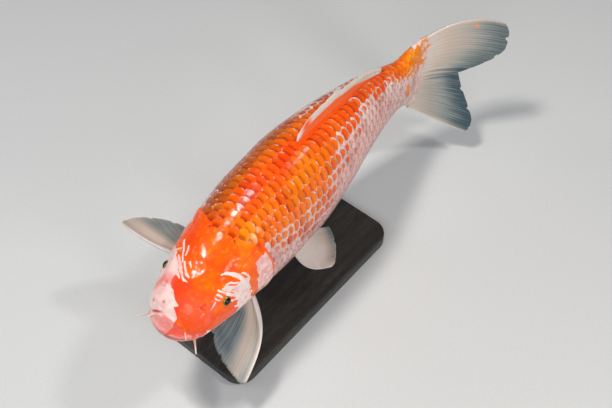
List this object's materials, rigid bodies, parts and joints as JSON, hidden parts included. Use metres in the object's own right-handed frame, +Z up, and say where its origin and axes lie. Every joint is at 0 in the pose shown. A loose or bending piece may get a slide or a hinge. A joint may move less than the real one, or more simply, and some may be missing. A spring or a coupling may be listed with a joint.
{
  "type": "koi carp",
  "caption": "Life-size swimming koi carp with an orange, scaled back and white fins, its tail sweeping to its left, held over a flat base by slim rods.",
  "frame": {"origin": "centre of the underside of the stand's base, on the floor", "axes": "+Z up; the snout points to -X and the tail to +X; the fish's right side is towards +Y"},
  "size_m": [0.6042, 0.2154, 0.2709],
  "materials": {
    "skin": "wet scaled fish skin, orange on the back and pale on the lower flank",
    "cheek": "smooth wet skin over bone, pinkish white",
    "lip": "soft wet lip skin, coral pink",
    "fin": "translucent fin membrane over fine rays, cream to grey blue",
    "barbel": "soft pale pink skin",
    "eye": "clear wet cornea over a black pupil and a thin yellow iris",
    "base": "satin black stained wood",
    "rod": "satin steel"
  },
  "bodies": {
    "root": {"head": "skin", "upper_lip": "lip", "lower_lip": "lip", "gill_cover_right": "cheek", "gill_cover_left": "cheek", "eye_right": "eye", "eye_left": "eye", "trunk_front": "skin", "trunk_middle": "skin", "trunk_rear": "skin", "tail_stalk": "skin", "back_fin": "fin", "anal_fin": "fin", "tail_fin_upper": "fin", "tail_fin_lower": "fin", "pectoral_fin_right": "fin", "pectoral_fin_left": "fin", "pelvic_fin_right": "fin", "pelvic_fin_left": "fin", "corner_barbel_right": "barbel", "corner_barbel_left": "barbel", "lip_barbel_right": "barbel", "lip_barbel_left": "barbel", "stand_base": "base", "stand_rod_front": "rod", "stand_rod_rear": "rod"}
  },
  "joints": []
}
